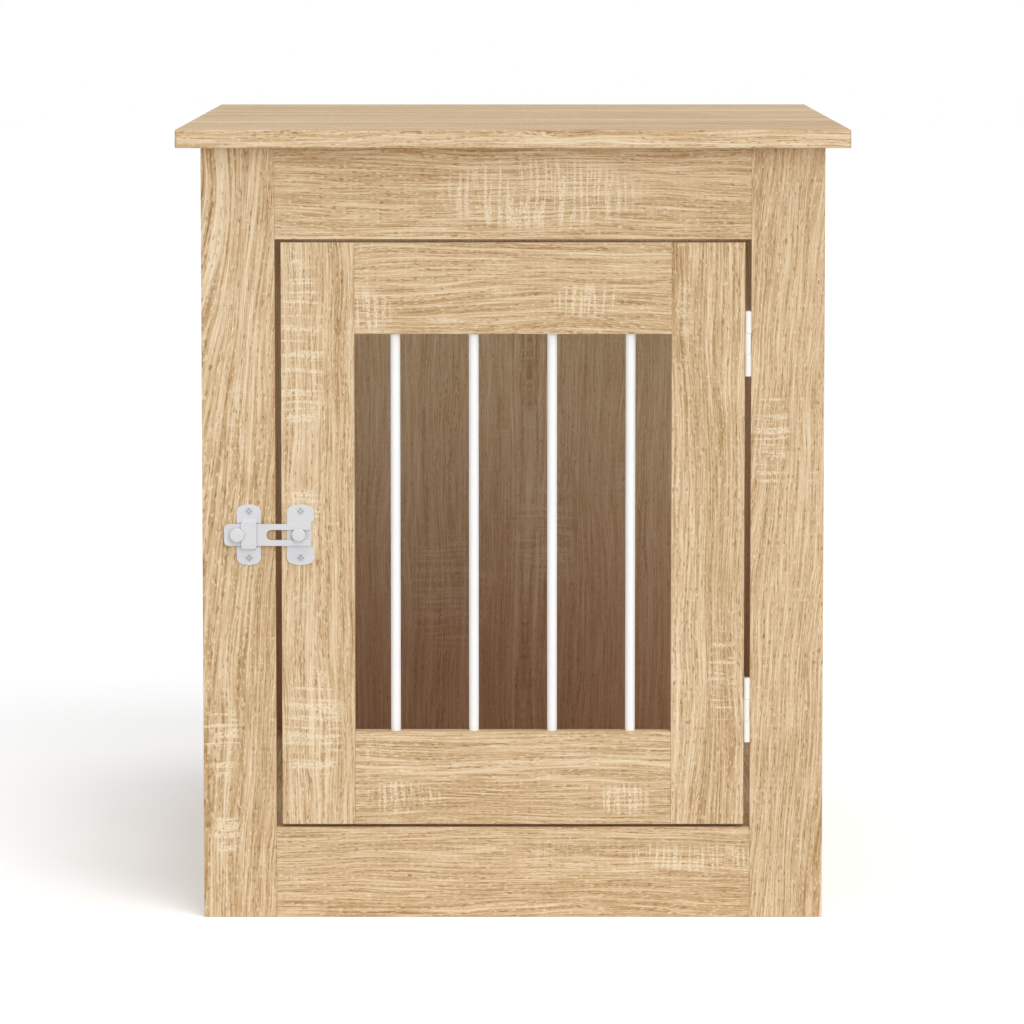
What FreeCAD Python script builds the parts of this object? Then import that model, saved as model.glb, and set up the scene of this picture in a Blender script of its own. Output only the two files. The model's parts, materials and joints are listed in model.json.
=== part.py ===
import FreeCAD, Part
import os
import re
from math import cos, pi

import Sketcher

# Dog crate end table: a framed cabinet of wood-grained board under an overhanging tabletop,
# with a barred door at the front, barred windows in both sides and a slide latch.
# Millimetres. +Z is up, +X to the right, and the door faces -Y.
# The origin is on the floor, below the middle of the tabletop.

SIZES = {
    # tabletop
    "top_width": 550,
    "top_depth": 750,
    "top_thickness": 15,
    "top_overhang": 20,
    "top_corner_radius": 3,
    "top_edge_ease": 1,
    # carcass
    "carcass_height": 635,
    "board_thickness": 15,
    "front_stile_width": 60,
    "front_top_rail_height": 75,
    "front_bottom_rail_height": 75,
    "side_stile_width": 60,
    "side_top_rail_height": 75,
    "side_bottom_rail_height": 75,
    "back_thickness": 15,
    "floor_thickness": 15,
    "floor_underside": 45,
    # door
    "door_thickness": 15,
    "door_side_gap": 5,
    "door_end_gap": 2.5,
    "door_stile_width": 60,
    "door_top_rail_height": 75,
    "door_bottom_rail_height": 77,
    # bars
    "bar_diameter": 8,
    "door_bar_pitch": 64.3,
    "side_bar_pitch": 62.5,
    "bar_seat_depth": 10,
    "bar_clearance": 0.1,
    "bar_end_gap": 1,
    # tongues of the rails, and the mortises of the stiles
    "tongue_length": 10,
    "tongue_thickness": 5,
    "tongue_shoulder": 12,
    "mortise_clearance": 0.1,
    "mortise_end_gap": 0.5,
    # dowels
    "dowel_diameter": 8,
    "dowel_length": 30,
    "dowel_face_depth": 9,
    "dowel_clearance": 0.1,
    "dowel_end_gap": 0.5,
    "dowel_end_distance": 120,
    # hinges
    "hinge_length": 53,
    "hinge_top_inset": 83,
    "hinge_bottom_inset": 95,
    "pivot_proud": 1,
    "knuckle_diameter": 4.6,
    "knuckle_gap": 0.2,
    "leaf_thickness": 1.2,
    "leaf_width": 15,
    "leaf_notch": 2.4,
    "pin_diameter": 2.2,
    "pin_clearance": 0.05,
    "pin_head_diameter": 3.8,
    "pin_head_height": 0.8,
    # countersunk wood screws
    "screw_head_diameter": 6.4,
    "screw_shank_diameter": 3.4,
    "screw_shank_length": 11,
    "screw_clearance": 0.1,
    "screw_tip_gap": 0.5,
    # latch plates
    "latch_plate_thickness": 1.5,
    "latch_plate_height": 50,
    "latch_plate_arch_rise": 3,
    "latch_plate_corner_radius": 4,
    "latch_screw_spacing": 38.5,
    "guide_inset": 21.8,
    "guide_width": 20,
    "keeper_inset": 15.6,
    "keeper_width": 22.4,
    "keeper_waist_depth": 2.4,
    "keeper_waist_height": 22,
    "keeper_waist_radius": 1.1,
    # strap that the latch bolt runs under
    "strap_width": 13,
    "strap_foot_height": 27,
    "strap_crown_height": 22.6,
    "strap_thickness": 1.5,
    "strap_corner_radius": 2,
    # latch bolt
    "bolt_length": 71,
    "bolt_height": 18,
    "bolt_thickness": 2,
    "bolt_corner_radius": 4,
    "bolt_clearance": 0.1,
    "bolt_side_clearance": 0.3,
    "bolt_tip_reach": 9.8,
    "bolt_slot_width": 8.4,
    "bolt_slot_length": 36.2,
    # thumb knob of the bolt
    "knob_stem_diameter": 6,
    "knob_head_diameter": 11.6,
    "knob_head_thickness": 2.6,
    "knob_edge_ease": 0.8,
    "knob_clearance": 0.3,
    # stud that the bolt's fork slips behind
    "stud_offset": 1.5,
    "stud_shank_diameter": 7.4,
    "stud_head_diameter": 11,
    "stud_head_thickness": 2.2,
    "stud_edge_ease": 0.7,
    "stud_clearance": 0.3,
}

DOOR_BARS = 4
BARS_PER_SIDE_WINDOW = 3
BAR_FLAT_COUNT = 12  # round each of the side windows' bars
BORE_FLAT_COUNT = 12  # round each of the bars' sockets
DOWEL_FLUTE_COUNT = 8
PILOT_FLAT_COUNT = 8  # round each of the screws' pilot bores
NONE = 0.01  # a length below this counts as none

# Places, as expressions on the sizes
BODY_WIDTH = "(top_width - 2 * top_overhang)"
BODY_DEPTH = "(top_depth - 2 * top_overhang)"
LEFT = f"(-{BODY_WIDTH} / 2)"
FRONT = f"(-{BODY_DEPTH} / 2)"
SIDES_FRONT = f"({FRONT} + board_thickness)"
SIDES_BACK = f"({BODY_DEPTH} / 2 - back_thickness)"
BAY = f"(({SIDES_BACK} - {SIDES_FRONT} - 3 * side_stile_width) / 2)"
OPENING_LEFT = f"({LEFT} + front_stile_width)"
OPENING_RIGHT = f"(-{OPENING_LEFT})"
OPENING_LOW = "front_bottom_rail_height"
OPENING_HIGH = "(carcass_height - front_top_rail_height)"
DOOR_LEFT = f"({OPENING_LEFT} + door_side_gap)"
DOOR_RIGHT = f"({OPENING_RIGHT} - door_side_gap)"
DOOR_LOW = f"({OPENING_LOW} + door_end_gap)"
DOOR_HIGH = f"({OPENING_HIGH} - door_end_gap)"
WINDOW_LEFT = f"({DOOR_LEFT} + door_stile_width)"
WINDOW_RIGHT = f"({DOOR_RIGHT} - door_stile_width)"
WINDOW_LOW = f"({DOOR_LOW} + door_bottom_rail_height)"
WINDOW_HIGH = f"({DOOR_HIGH} - door_top_rail_height)"
SIDE_WINDOW_LOW = "side_bottom_rail_height"
SIDE_WINDOW_HIGH = "(carcass_height - side_top_rail_height)"
PIVOT_X = f"({OPENING_RIGHT} - door_side_gap / 2)"
PIVOT_Y = f"({FRONT} - pivot_proud)"
LATCH_HEIGHT = f"(({DOOR_LOW} + {DOOR_HIGH}) / 2)"
GUIDE_X = f"({OPENING_LEFT} - guide_inset)"
KEEPER_X = f"({DOOR_LEFT} + keeper_inset)"
STUD_X = f"({KEEPER_X} - stud_offset)"
BOLT_TIP_X = f"({STUD_X} + bolt_tip_reach)"
BOLT_BACK = "(latch_plate_thickness + bolt_clearance)"
BOLT_FACE = f"({BOLT_BACK} + bolt_thickness)"
STRAP_CROWN = f"({BOLT_FACE} + bolt_clearance + strap_thickness)"
KNOB_X = f"({GUIDE_X} - strap_width / 2 - knob_stem_diameter / 2 - bolt_clearance)"

X_AXIS = FreeCAD.Vector(1, 0, 0)
Y_AXIS = FreeCAD.Vector(0, 1, 0)
TURNS = {
    "+x": FreeCAD.Rotation(Y_AXIS, 90),
    "-x": FreeCAD.Rotation(Y_AXIS, -90),
    "+y": FreeCAD.Rotation(X_AXIS, -90),
    "-y": FreeCAD.Rotation(X_AXIS, 90),
    "+z": FreeCAD.Rotation(),
}

doc = FreeCAD.newDocument("dog_crate_end_table")
sheet = doc.addObject("Spreadsheet::Sheet", "Sizes")
for row, (word, size) in enumerate(SIZES.items(), 1):
    sheet.set(f"A{row}", word)
    sheet.set(f"B{row}", str(size))
    sheet.setAlias(f"B{row}", word)
doc.recompute()

sub_parts = []


# ---- Tools of the document ----


def expression(text):
    """The text with each size's word pointed at its cell in the sheet."""
    return re.sub(r"[a-z_]+", r"Sizes.\g<0>", text)


def value(text):
    return float(sheet.evalExpression(expression(text)))


def bind(thing, **sizes):
    for name, text in sizes.items():
        thing.setExpression(name, expression(text))


def place(thing, spot, turn="+z"):
    """Puts a thing's own origin at the spot, with its own Z axis along turn."""
    thing.Placement = FreeCAD.Placement(FreeCAD.Vector(), TURNS[turn])
    for axis, text in zip("xyz", spot):
        thing.setExpression(f"Placement.Base.{axis}", expression(text))


def sub_part(thing, label):
    thing.Label = label
    sub_parts.append(thing)
    return thing


def block(corner, size):
    box = doc.addObject("Part::Box", "block")
    bind(box, Length=size[0], Width=size[1], Height=size[2])
    place(box, corner)
    return box


def rod(diameter, length, spot, turn="+z"):
    round_bar = doc.addObject("Part::Cylinder", "rod")
    bind(round_bar, Radius=f"{diameter} / 2", Height=length)
    place(round_bar, spot, turn)
    return round_bar


def flatted_rod(flats, diameter, length, spot, turn="+z"):
    bar = doc.addObject("Part::Prism", "flatted_rod")
    bar.Polygon = flats
    bind(bar, Circumradius=f"{diameter} / 2", Height=length)
    place(bar, spot, turn)
    return bar


def flatted_bore(flats, diameter, length, spot, turn="+z"):
    """A bore out of sight, whose flats all clear a round bar of the diameter."""
    across_corners = f"({diameter} * {1 / cos(pi / flats):.4f})"
    return flatted_rod(flats, across_corners, length, spot, turn)


def taper(wide, narrow, length, spot, turn):
    cone = doc.addObject("Part::Cone", "taper")
    bind(cone, Radius1=f"{wide} / 2", Radius2=f"{narrow} / 2", Height=length)
    place(cone, spot, turn)
    return cone


def fused(pieces):
    whole = doc.addObject("Part::MultiFuse", "fused")
    whole.Shapes = pieces
    return whole


def cut(base, tools):
    """The base less all the tools."""
    result = doc.addObject("Part::Cut", "cut")
    result.Base = base
    result.Tool = fused(tools) if len(tools) > 1 else tools[0]
    return result


def grouped(pieces):
    group = doc.addObject("Part::Compound", "group")
    group.Links = pieces
    return group


# ---- Tools of the sketched bodies ----


def body_at(name, spot):
    body = doc.addObject("PartDesign::Body", name)
    place(body, spot)
    return body


def sketch_on(body, plane, height="0"):
    """A sketch on one of the body's own planes. XZ faces the front, YZ the right."""
    sketch = body.newObject("Sketcher::SketchObject", "sketch")
    origin_plane = next(f for f in body.Origin.OriginFeatures if f.Role == plane)
    sketch.AttachmentSupport = [(origin_plane, "")]
    sketch.MapMode = "FlatFace"
    sketch.setExpression("AttachmentOffset.Base.z", expression(height))
    return sketch


def hold(sketch, edge, end, across, up):
    """Holds a point at its distances from the sketch's origin."""
    for kind, text, axis in (("DistanceX", across, -2), ("DistanceY", up, -1)):
        if text == "0":
            sketch.addConstraint(Sketcher.Constraint("PointOnObject", edge, end, axis))
            continue
        index = sketch.addConstraint(
            Sketcher.Constraint(kind, -1, 1, edge, end, value(text))
        )
        sketch.setExpression(f"Constraints[{index}]", expression(text))


def outline(sketch, corners):
    """A closed outline, anticlockwise through the corners (across, up).

    A third entry is the radius of the arc that bulges out to the next corner, or "half" where
    that arc is a half circle.
    """
    points = [FreeCAD.Vector(value(corner[0]), value(corner[1]), 0) for corner in corners]
    count = len(corners)
    for index, corner in enumerate(corners):
        start, end = points[index], points[(index + 1) % count]
        if len(corner) == 2:
            sketch.addGeometry(Part.LineSegment(start, end), False)
            continue
        chord = end - start
        outward = FreeCAD.Vector(chord.y, -chord.x, 0).normalize()
        half = chord.Length / 2
        radius = half if corner[2] == "half" else value(corner[2])
        rise = radius - (radius**2 - half**2) ** 0.5
        sketch.addGeometry(Part.Arc(start, (start + end) / 2 + outward * rise, end), False)
    for index, corner in enumerate(corners):
        sketch.addConstraint(Sketcher.Constraint("Coincident", index, 2, (index + 1) % count, 1))
        hold(sketch, index, 1, corner[0], corner[1])
        if len(corner) == 3 and corner[2] == "half":
            sketch.addConstraint(Sketcher.Constraint("Symmetric", index, 1, index, 2, index, 3))
        elif len(corner) == 3:
            radius_index = sketch.addConstraint(
                Sketcher.Constraint("Radius", index, value(corner[2]))
            )
            sketch.setExpression(f"Constraints[{radius_index}]", expression(corner[2]))


def pad(body, sketch, length, both_ways=False):
    feature = body.newObject("PartDesign::Pad", "pad")
    feature.Profile = sketch
    feature.SideType = "Symmetric" if both_ways else "One side"
    bind(feature, Length=length)
    doc.recompute()
    return feature


def pocket(body, sketch, length, both_ways=False):
    """Cuts a sketch out of the body, towards the wood unless both ways."""
    before = body.Shape.Volume
    feature = body.newObject("PartDesign::Pocket", "pocket")
    feature.Profile = sketch
    feature.SideType = "Symmetric" if both_ways else "One side"
    bind(feature, Length=length)
    doc.recompute()
    if not body.Shape.Volume < before:
        raise RuntimeError(f"{body.Label}: a pocket cuts nothing")
    return feature


def edge_names(feature, chosen):
    """The names of a feature's edges whose bounding boxes pass the test."""
    edges = enumerate(feature.Shape.Edges, 1)
    return [f"Edge{number}" for number, edge in edges if chosen(edge.BoundBox)]


def rounded(body, feature, chosen, radius):
    """Rounds the feature's edges that the test picks."""
    fillet = body.newObject("PartDesign::Fillet", "rounding")
    fillet.Base = (feature, edge_names(feature, chosen))
    bind(fillet, Radius=radius)
    doc.recompute()
    return fillet


# ---- Framed panels: rails with tongues between stiles with mortises ----


def along(run, way, through, up):
    """A corner or a size of a board in a panel that runs along x or y, as x, y and z."""
    return (way, through, up) if run == "x" else (through, way, up)


def rail(run, start, end, face, thickness, low, height, sockets=()):
    """A rail from start to end, with a tongue past each end and sockets for bars."""
    board = block(along(run, start, face, low), along(run, f"({end} - {start})", thickness, height))
    tongue = block(
        along(
            run,
            f"({start} - tongue_length)",
            f"({face} + ({thickness} - tongue_thickness) / 2)",
            f"({low} + tongue_shoulder)",
        ),
        along(
            run,
            f"({end} - {start} + 2 * tongue_length)",
            "tongue_thickness",
            f"({height} - 2 * tongue_shoulder)",
        ),
    )
    tongued = fused([board, tongue])
    return cut(tongued, list(sockets)) if sockets else tongued


def mortise(run, edge, face, thickness, low, height):
    """The room for a rail's tongue, either way from a stile's edge."""
    depth = "(tongue_length + mortise_end_gap)"
    return block(
        along(
            run,
            f"({edge} - {depth})",
            f"({face} + ({thickness} - tongue_thickness) / 2 - mortise_clearance)",
            f"({low} + tongue_shoulder - mortise_clearance)",
        ),
        along(
            run,
            f"(2 * {depth})",
            "(tongue_thickness + 2 * mortise_clearance)",
            f"({height} - 2 * tongue_shoulder + 2 * mortise_clearance)",
        ),
    )


def stile(run, start, width, face, thickness, low, height, edges, rails, bores=()):
    """An upright board, mortised at each edge for each rail, given as (low, height)."""
    board = block(along(run, start, face, low), along(run, width, thickness, height))
    tools = [mortise(run, edge, face, thickness, *rail_) for edge in edges for rail_ in rails]
    return cut(board, tools + list(bores))


# ---- Dowels and their sockets ----

dowels = []


def dowel_socket(spot, turn):
    """Adds a dowel whose back end is at the spot, and gives the socket that it fills."""
    dowels.append(flatted_rod(DOWEL_FLUTE_COUNT, "dowel_diameter", "dowel_length", spot, turn))
    axis = "xyz".index(turn[1])
    back = list(spot)
    back[axis] = f"({spot[axis]} - dowel_end_gap)"
    return flatted_rod(
        DOWEL_FLUTE_COUNT,
        "(dowel_diameter + 2 * dowel_clearance)",
        "(dowel_length + 2 * dowel_end_gap)",
        back,
        turn,
    )


DOWEL_IN_EDGE = "(dowel_length - dowel_face_depth)"
DOWEL_HEIGHTS = ["dowel_end_distance", "(carcass_height - dowel_end_distance)"]
BAY_STARTS = [
    f"({SIDES_FRONT} + side_stile_width)",
    f"({SIDES_FRONT} + 2 * side_stile_width + {BAY})",
]

front_dowels, back_dowels, top_dowels, floor_dowels = {}, {}, {}, {}
for side in ("left", "right"):
    sign = "-" if side == "left" else "+"
    board_middle = f"(0 {sign} ({BODY_WIDTH} - board_thickness) / 2)"
    floor_end = f"(0 {sign} ({BODY_WIDTH} / 2 - board_thickness))"
    floor_dowel_start = {
        "left": f"({floor_end} - dowel_face_depth)",
        "right": f"({floor_end} - {DOWEL_IN_EDGE})",
    }[side]
    front_dowels[side] = [
        dowel_socket((board_middle, f"({SIDES_FRONT} - dowel_face_depth)", height), "+y")
        for height in DOWEL_HEIGHTS
    ]
    back_dowels[side] = [
        dowel_socket((board_middle, f"({SIDES_BACK} - {DOWEL_IN_EDGE})", height), "+y")
        for height in DOWEL_HEIGHTS
    ]
    bay_middles = [f"({start} + {BAY} / 2)" for start in BAY_STARTS]
    top_dowels[side] = [
        dowel_socket((board_middle, middle, f"(carcass_height - {DOWEL_IN_EDGE})"), "+z")
        for middle in bay_middles
    ]
    floor_dowels[side] = [
        dowel_socket(
            (floor_dowel_start, middle, "(floor_underside + floor_thickness / 2)"), "+x"
        )
        for middle in bay_middles
    ]
sub_part(grouped(dowels), "panel_dowels")


# ---- Countersunk wood screws of the latch plates ----


LATCH_SCREW_HEIGHTS = [
    f"({LATCH_HEIGHT} {sign} latch_screw_spacing / 2)" for sign in ("+", "-")
]


def latch_screws(plate_x):
    """Two screws whose heads fill a plate's countersinks, with their shanks in the board."""
    screws = []
    for height in LATCH_SCREW_HEIGHTS:
        face_spot = (plate_x, f"({FRONT} - latch_plate_thickness)", height)
        head = taper(
            "screw_head_diameter",
            "(screw_head_diameter - 2 * latch_plate_thickness)",
            "latch_plate_thickness",
            face_spot,
            "+y",
        )
        length = "(latch_plate_thickness + screw_shank_length)"
        screws.append(fused([head, rod("screw_shank_diameter", length, face_spot, "+y")]))
    return grouped(screws)


def latch_pilots(plate_x):
    """The bores in a board for a latch plate's screws."""
    return [
        flatted_bore(
            PILOT_FLAT_COUNT,
            "(screw_shank_diameter + 2 * screw_clearance)",
            "(screw_shank_length + screw_tip_gap)",
            (plate_x, FRONT, height),
            "+y",
        )
        for height in LATCH_SCREW_HEIGHTS
    ]


# ---- Tabletop, back and floor ----

tabletop = body_at("tabletop_board", ("0", "0", "carcass_height"))
tabletop_outline = sketch_on(tabletop, "XY_Plane")
outline(
    tabletop_outline,
    [
        ("(-top_width / 2)", "(-top_depth / 2)"),
        ("(top_width / 2)", "(-top_depth / 2)"),
        ("(top_width / 2)", "(top_depth / 2)"),
        ("(-top_width / 2)", "(top_depth / 2)"),
    ],
)
tabletop_slab = pad(tabletop, tabletop_outline, "top_thickness")
tabletop_rounded = rounded(
    tabletop, tabletop_slab, lambda box: box.ZLength > NONE, "top_corner_radius"
)
tabletop_eased = tabletop.newObject("PartDesign::Chamfer", "easing")
rim_edges = edge_names(tabletop_rounded, lambda box: box.ZLength < NONE)
tabletop_eased.Base = (tabletop_rounded, rim_edges)
bind(tabletop_eased, Size="top_edge_ease")
sub_part(cut(tabletop, top_dowels["left"] + top_dowels["right"]), "tabletop")

back_board = block(
    (LEFT, SIDES_BACK, "0"),
    (BODY_WIDTH, "back_thickness", "carcass_height"),
)
sub_part(cut(back_board, back_dowels["left"] + back_dowels["right"]), "back_panel")

floor_board = block(
    (f"({LEFT} + board_thickness)", SIDES_FRONT, "floor_underside"),
    (f"({BODY_WIDTH} - 2 * board_thickness)", f"({SIDES_BACK} - {SIDES_FRONT})", "floor_thickness"),
)
sub_part(cut(floor_board, floor_dowels["left"] + floor_dowels["right"]), "floor_panel")

# ---- Front frame ----

front_rails = [
    ("0", "front_bottom_rail_height"),
    (OPENING_HIGH, "front_top_rail_height"),
]
front_faces = (FRONT, "board_thickness")
sub_part(
    stile(
        "x", LEFT, "front_stile_width", *front_faces, "0", "carcass_height",
        [OPENING_LEFT], front_rails, front_dowels["left"] + latch_pilots(GUIDE_X),
    ),
    "front_left_stile",
)
sub_part(
    stile(
        "x", OPENING_RIGHT, "front_stile_width", *front_faces, "0", "carcass_height",
        [OPENING_RIGHT], front_rails, front_dowels["right"],
    ),
    "front_right_stile",
)
for label, (low, height) in zip(("front_bottom_rail", "front_top_rail"), front_rails):
    sub_part(rail("x", OPENING_LEFT, OPENING_RIGHT, *front_faces, low, height), label)

# ---- Side frames, each with two barred windows ----

side_rails = {
    "bottom": ("0", "side_bottom_rail_height"),
    "top": (SIDE_WINDOW_HIGH, "side_top_rail_height"),
}
STILE_STARTS = {
    "front": SIDES_FRONT,
    "middle": f"({SIDES_FRONT} + side_stile_width + {BAY})",
    "rear": f"({SIDES_BACK} - side_stile_width)",
}
SOCKET_DIAMETER = "(bar_diameter + 2 * bar_clearance)"


def bar_places(start, width, pitch, count):
    """The bars' middles, a pitch apart, in the middle of a window."""
    return [f"({start} + {width} / 2 + {i - (count - 1) / 2} * {pitch})" for i in range(count)]


for side in ("left", "right"):
    face = LEFT if side == "left" else f"({BODY_WIDTH} / 2 - board_thickness)"
    middle = f"({face} + board_thickness / 2)"
    for name, start in STILE_STARTS.items():
        edges = {
            "front": [f"({start} + side_stile_width)"],
            "middle": [start, f"({start} + side_stile_width)"],
            "rear": [start],
        }[name]
        bores = {"front": front_dowels[side], "middle": [], "rear": back_dowels[side]}[name]
        sub_part(
            stile(
                "y", start, "side_stile_width", face, "board_thickness", "0", "carcass_height",
                edges, side_rails.values(), bores,
            ),
            f"{side}_{name}_stile",
        )
    bars = []
    for number, (bay_name, start) in enumerate(zip(("front", "rear"), BAY_STARTS)):
        ways = bar_places(start, BAY, "side_bar_pitch", BARS_PER_SIDE_WINDOW)
        bars += [
            flatted_rod(
                BAR_FLAT_COUNT,
                "bar_diameter",
                f"({SIDE_WINDOW_HIGH} - {SIDE_WINDOW_LOW} + 2 * bar_seat_depth - bar_end_gap)",
                (middle, way, f"({SIDE_WINDOW_LOW} - bar_seat_depth)"),
            )
            for way in ways
        ]
        socket_lows = {
            "bottom": f"({SIDE_WINDOW_LOW} - bar_seat_depth)",
            "top": SIDE_WINDOW_HIGH,
        }
        dowel_bores = {"bottom": floor_dowels[side], "top": top_dowels[side]}
        for level, (low, height) in side_rails.items():
            sockets = [
                flatted_bore(
                    BORE_FLAT_COUNT,
                    SOCKET_DIAMETER,
                    "bar_seat_depth",
                    (middle, way, socket_lows[level]),
                )
                for way in ways
            ]
            sub_part(
                rail(
                    "y", start, f"({start} + {BAY})", face, "board_thickness", low, height,
                    sockets + [dowel_bores[level][number]],
                ),
                f"{side}_{bay_name}_{level}_rail",
            )
    sub_part(grouped(bars), f"{side}_window_bars")

# ---- Door ----

door_faces = (FRONT, "door_thickness")
DOOR_HEIGHT = f"({DOOR_HIGH} - {DOOR_LOW})"
door_rails = {
    "bottom": (DOOR_LOW, "door_bottom_rail_height"),
    "top": (WINDOW_HIGH, "door_top_rail_height"),
}
sub_part(
    stile(
        "x", DOOR_LEFT, "door_stile_width", *door_faces, DOOR_LOW, DOOR_HEIGHT,
        [WINDOW_LEFT], door_rails.values(), latch_pilots(KEEPER_X),
    ),
    "door_latch_stile",
)
sub_part(
    stile(
        "x", WINDOW_RIGHT, "door_stile_width", *door_faces, DOOR_LOW, DOOR_HEIGHT,
        [WINDOW_RIGHT], door_rails.values(),
    ),
    "door_hinge_stile",
)
door_bar_ways = bar_places(
    WINDOW_LEFT, f"({WINDOW_RIGHT} - {WINDOW_LEFT})", "door_bar_pitch", DOOR_BARS
)
door_middle = f"({FRONT} + door_thickness / 2)"
door_socket_lows = {"bottom": f"({WINDOW_LOW} - bar_seat_depth)", "top": WINDOW_HIGH}
for level, (low, height) in door_rails.items():
    sockets = [
        flatted_bore(
            BORE_FLAT_COUNT,
            SOCKET_DIAMETER,
            "bar_seat_depth",
            (way, door_middle, door_socket_lows[level]),
        )
        for way in door_bar_ways
    ]
    sub_part(
        rail("x", WINDOW_LEFT, WINDOW_RIGHT, *door_faces, low, height, sockets),
        f"door_{level}_rail",
    )
sub_part(
    grouped(
        [
            rod(
                "bar_diameter",
                f"({WINDOW_HIGH} - {WINDOW_LOW} + 2 * bar_seat_depth - bar_end_gap)",
                (way, door_middle, f"({WINDOW_LOW} - bar_seat_depth)"),
            )
            for way in door_bar_ways
        ]
    ),
    "door_bars",
)

# ---- Butt hinges between the door's edge and the right-hand stile ----

KNUCKLE = "(hinge_length / 3)"
HINGE_HEIGHTS = {
    "upper": f"({DOOR_HIGH} - hinge_top_inset)",
    "lower": f"({DOOR_LOW} + hinge_bottom_inset)",
}


def hinge_leaf(side, middle, knuckles):
    """A leaf on the frame's or the door's side of the pivot, with the knuckles that it carries."""
    bottom = f"({middle} - hinge_length / 2)"
    inner = "- door_side_gap / 2" if side == "door" else "+ door_side_gap / 2 - leaf_thickness"
    plate_x = f"({PIVOT_X} {inner})"
    pieces = [
        block(
            (plate_x, f"({PIVOT_Y} + leaf_notch)", bottom),
            ("leaf_thickness", "(leaf_width - leaf_notch)", "hinge_length"),
        )
    ]
    for number in knuckles:
        low_gap = "0" if number == 0 else "knuckle_gap / 2"
        high_gap = "0" if number == 2 else "knuckle_gap / 2"
        low = f"({bottom} + {number} * {KNUCKLE} + {low_gap})"
        length = f"({KNUCKLE} - {low_gap} - {high_gap})"
        pieces.append(rod("knuckle_diameter", length, (PIVOT_X, PIVOT_Y, low)))
        pieces.append(
            block((plate_x, PIVOT_Y, low), ("leaf_thickness", "(leaf_notch + leaf_thickness)", length))
        )
    bore = rod(
        "(pin_diameter + 2 * pin_clearance)", "hinge_length", (PIVOT_X, PIVOT_Y, bottom)
    )
    return cut(fused(pieces), [bore])


for level, middle in HINGE_HEIGHTS.items():
    sub_part(hinge_leaf("frame", middle, (0, 2)), f"{level}_hinge_frame_leaf")
    sub_part(hinge_leaf("door", middle, (1,)), f"{level}_hinge_door_leaf")
    bottom = f"({middle} - hinge_length / 2)"
    sub_part(
        fused(
            [
                rod("pin_diameter", "hinge_length", (PIVOT_X, PIVOT_Y, bottom)),
                rod(
                    "pin_head_diameter",
                    "pin_head_height",
                    (PIVOT_X, PIVOT_Y, f"({bottom} + hinge_length)"),
                ),
            ]
        ),
        f"{level}_hinge_pin",
    )

# ---- Slide latch: sketched plates, strap, forked bolt, thumb knob and stud ----


def countersinks(body):
    """The two screw holes of a latch plate, open towards the front."""
    for sign in ("+", "-"):
        cone = body.newObject("PartDesign::SubtractiveCone", "countersink")
        bind(
            cone,
            Radius1="(screw_head_diameter / 2 + screw_clearance)",
            Radius2="(screw_head_diameter / 2 + screw_clearance - latch_plate_thickness)",
            Height="latch_plate_thickness",
        )
        place(
            cone, ("0", "(-latch_plate_thickness)", f"(0 {sign} latch_screw_spacing / 2)"), "+y"
        )
    doc.recompute()


def arched_plate(width):
    """The corners of a latch plate with straight sides and arched ends."""
    side = f"({width} / 2)"
    shoulder = "(latch_plate_height / 2 - latch_plate_arch_rise)"
    arch = f"(({side}^2 + latch_plate_arch_rise^2) / (2 * latch_plate_arch_rise))"
    return [
        (f"(-{side})", f"(-{shoulder})", arch),
        (side, f"(-{shoulder})"),
        (side, shoulder, arch),
        (f"(-{side})", shoulder),
    ]


def upright(box):
    """Whether an edge's box stands straight out from the wood."""
    return box.YLength > NONE and box.XLength < NONE and box.ZLength < NONE


# The guide is a plate on the frame's stile with a raised strap that the bolt slides under.
guide = sub_part(body_at("guide", (GUIDE_X, FRONT, LATCH_HEIGHT)), "latch_guide")
guide_outline = sketch_on(guide, "XZ_Plane")
outline(guide_outline, arched_plate("guide_width"))
guide_plate = pad(guide, guide_outline, "latch_plate_thickness")
rounded(guide, guide_plate, upright, "latch_plate_corner_radius")

strap_outline = sketch_on(guide, "YZ_Plane")
strap_foot = "(-latch_plate_thickness / 2)"
outline(
    strap_outline,
    [
        (f"(-{STRAP_CROWN})", "(-strap_crown_height / 2)"),
        (strap_foot, "(-strap_foot_height / 2)"),
        (strap_foot, "(strap_foot_height / 2)"),
        (f"(-{STRAP_CROWN})", "(strap_crown_height / 2)"),
    ],
)
strap = pad(guide, strap_outline, "strap_width", both_ways=True)
strap = rounded(
    guide,
    strap,
    lambda box: box.YMin < NONE - value(STRAP_CROWN) and min(box.YLength, box.ZLength) > NONE,
    "strap_corner_radius",
)

passage_outline = sketch_on(guide, "YZ_Plane")
passage_half = "(bolt_height / 2 + bolt_side_clearance)"
passage_face = f"(-{BOLT_FACE} - bolt_clearance)"
outline(
    passage_outline,
    [
        (passage_face, f"(-{passage_half})"),
        ("(-latch_plate_thickness)", f"(-{passage_half})"),
        ("(-latch_plate_thickness)", passage_half),
        (passage_face, passage_half),
    ],
)
pocket(guide, passage_outline, "(2 * guide_width)", both_ways=True)
countersinks(guide)

# The keeper is a plate on the door, waisted beside the stud.
keeper = sub_part(body_at("keeper", (KEEPER_X, FRONT, LATCH_HEIGHT)), "latch_keeper")
keeper_outline = sketch_on(keeper, "XZ_Plane")
outline(keeper_outline, arched_plate("keeper_width"))
keeper_plate = pad(keeper, keeper_outline, "latch_plate_thickness")
rounded(keeper, keeper_plate, upright, "latch_plate_corner_radius")

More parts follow.
